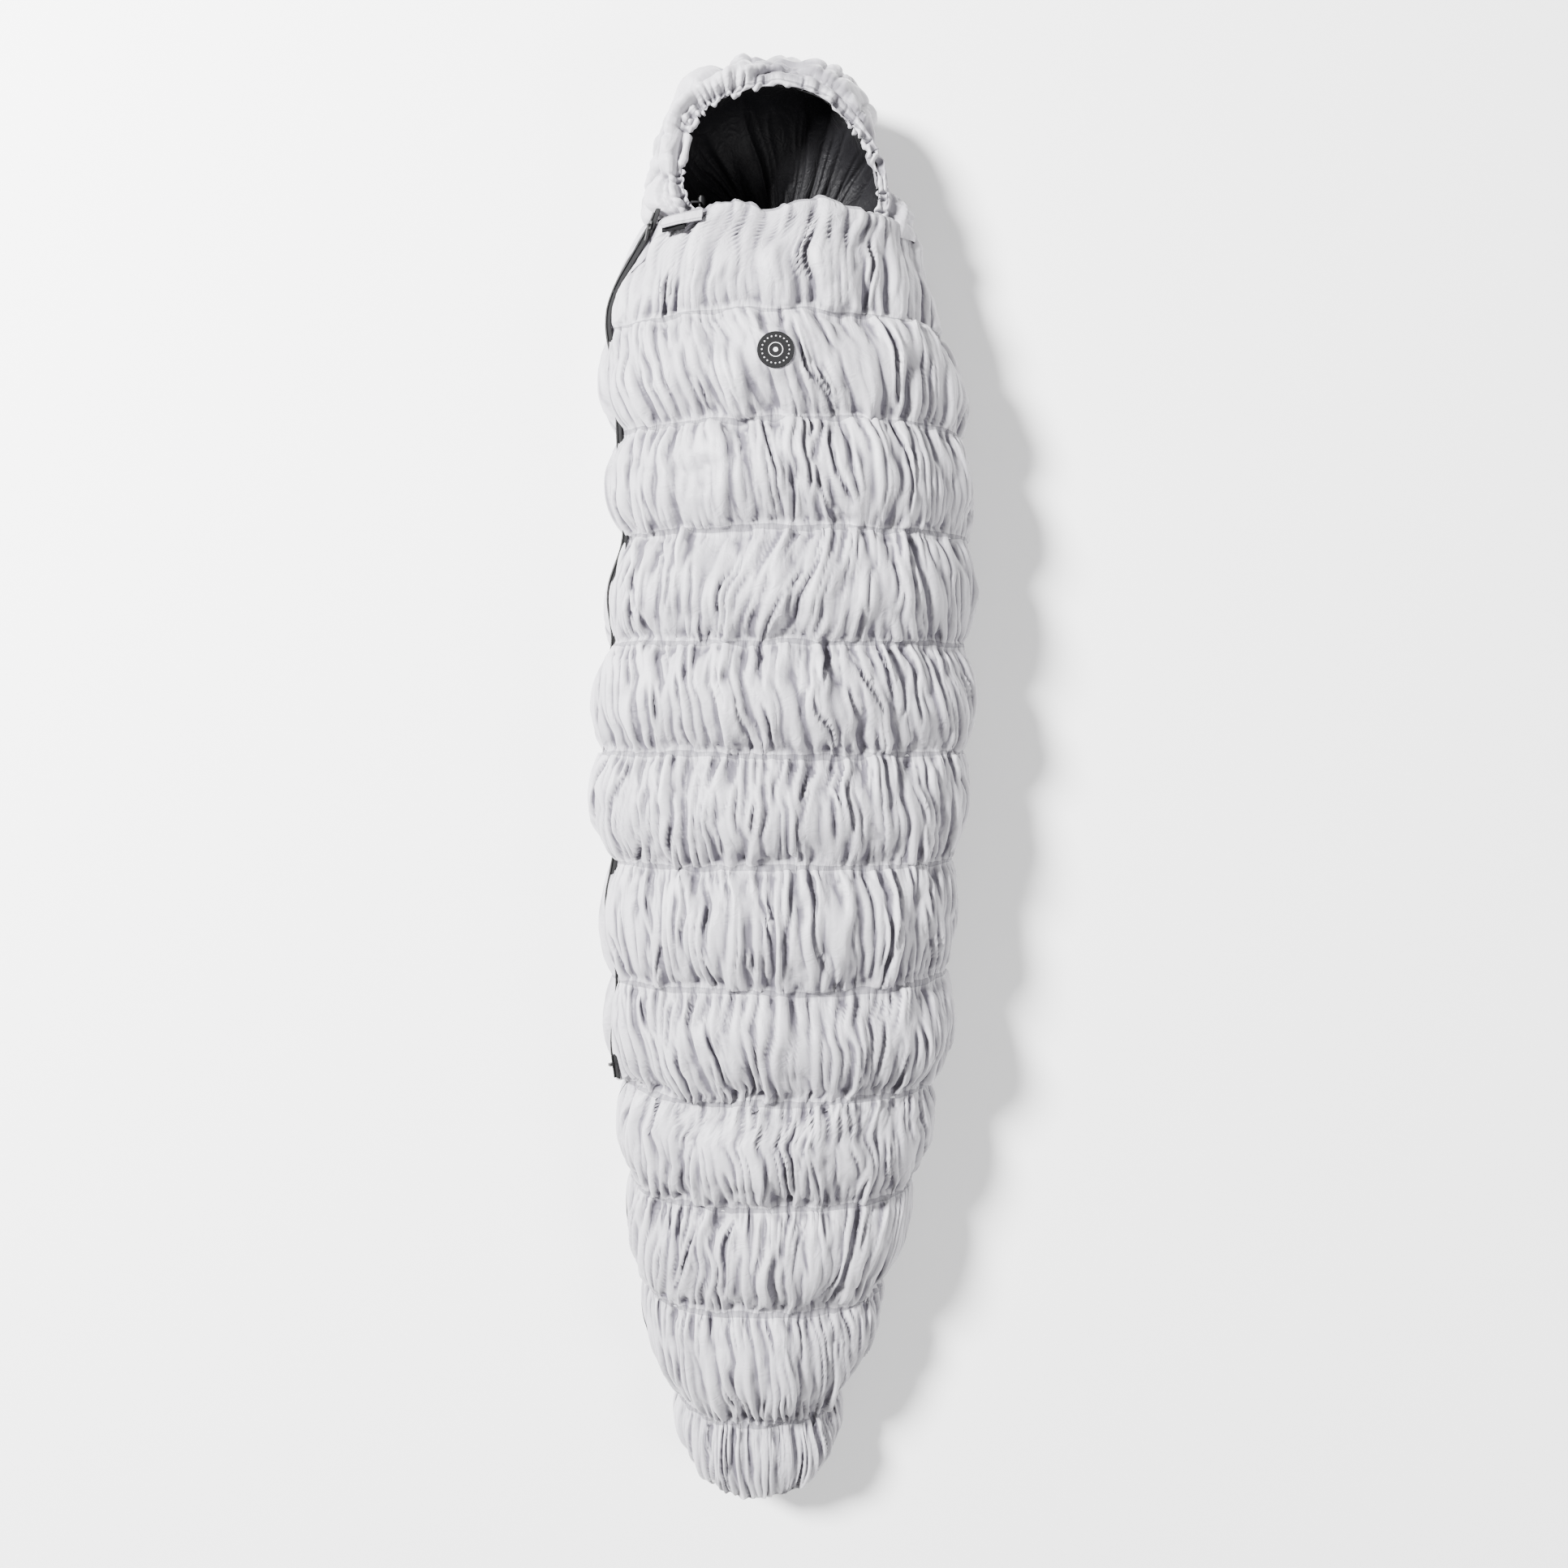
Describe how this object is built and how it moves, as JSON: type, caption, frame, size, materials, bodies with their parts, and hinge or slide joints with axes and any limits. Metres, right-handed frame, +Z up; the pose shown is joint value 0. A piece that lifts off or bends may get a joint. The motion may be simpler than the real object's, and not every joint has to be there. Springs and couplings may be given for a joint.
{
  "type": "mummy sleeping bag",
  "caption": "Padded mummy sleeping bag with gathered cross channels, drawcord hood, tapered foot and a full side zip; the cover folds open.",
  "frame": {"origin": "bottom centre of the bag lying on its back", "axes": "+Z up, +Y from the foot to the hood, -X the zip side"},
  "size_m": [0.5614, 2.113, 0.2414],
  "materials": {
    "shell": "light grey satin woven nylon",
    "lining": "black satin woven polyester",
    "fill": "white lofty polyester fibre",
    "elastic": "woven elastic",
    "tape": "black woven polyester tape",
    "coil": "black nylon coil",
    "metal": "black coated zinc",
    "cord": "black braided cord",
    "lock": "black moulded plastic",
    "rubber": "black moulded rubber",
    "hook": "black hook tape"
  },
  "bodies": {
    "base": {"outer_top_panel": "shell", "outer_base_panel": "shell", "outer_left_panel": "shell", "inner_lining": "lining", "channel_fill_01": "fill", "channel_fill_02": "fill", "channel_fill_03": "fill", "channel_fill_04": "fill", "channel_fill_05": "fill", "channel_fill_06": "fill", "channel_fill_07": "fill", "channel_fill_08": "fill", "channel_fill_09": "fill", "channel_fill_10": "fill", "channel_fill_11": "fill", "channel_fill_12": "fill", "elastic_band_01": "elastic", "elastic_band_02": "elastic", "elastic_band_03": "elastic", "elastic_band_04": "elastic", "elastic_band_05": "elastic", "elastic_band_06": "elastic", "elastic_band_07": "elastic", "elastic_band_08": "elastic", "elastic_band_09": "elastic", "elastic_band_10": "elastic", "elastic_band_11": "elastic", "foot_panel": "shell", "hood_shell": "shell", "hood_fill": "fill", "hood_lining": "lining", "hood_hem": "shell", "hood_crown_panel": "shell", "hood_drawcord": "cord", "zip_coil_base": "coil", "zip_tape_base": "tape", "zip_bottom_stop": "metal", "zip_top_stop": "metal", "draft_tube": "lining"},
    "cover": {"flap_shell": "shell", "flap_lining": "lining", "flap_fill_01": "fill", "flap_fill_02": "fill", "flap_fill_03": "fill", "flap_fill_04": "fill", "flap_fill_05": "fill", "flap_fill_06": "fill", "flap_fill_07": "fill", "flap_fill_08": "fill", "zip_coil_flap": "coil", "zip_tape_flap": "tape", "badge": "rubber"},
    "tab": {"neck_tab": "shell", "tab_hook_strip": "hook"},
    "slider": {"zip_slider": "metal"},
    "pull": {"zip_pull": "metal"},
    "lock": {"cord_lock_body": "lock"},
    "plunger": {"cord_lock_plunger": "lock"}
  },
  "joints": [
    {"name": "cover_fold", "type": "hinge", "parent": "base", "child": "cover", "pos_m": [0.118, 0.7985, 0.247], "axis": [0.27, 0.9629, 0], "range_deg": [0, 150]},
    {"name": "tab_peel", "type": "hinge", "parent": "cover", "child": "tab", "pos_m": [-0.12366, 0.7695, 0.19525], "axis": [0.4739, 0.645, -0.5994], "range_deg": [0, 150]},
    {"name": "zip_run", "type": "hinge", "parent": "base", "child": "slider", "pos_m": [3.2451, -0.01586, 0.94537], "axis": [-0.2304, -0.0164, 0.973], "range_deg": [0, 18.74]},
    {"name": "pull_swing", "type": "hinge", "parent": "slider", "child": "pull", "pos_m": [-0.19005, 0.78246, 0.15011], "axis": [-0.5518, 0.1751, -0.8154], "range_deg": [0, 120]},
    {"name": "lock_slide", "type": "slide", "parent": "base", "child": "lock", "axis": [0, 0, -1], "range_m": [0, 0.03]},
    {"name": "plunger_press", "type": "slide", "parent": "lock", "child": "plunger", "axis": [0, -1, 0], "range_m": [0, 0.002], "stiffness_N_per_m": 400}
  ]
}
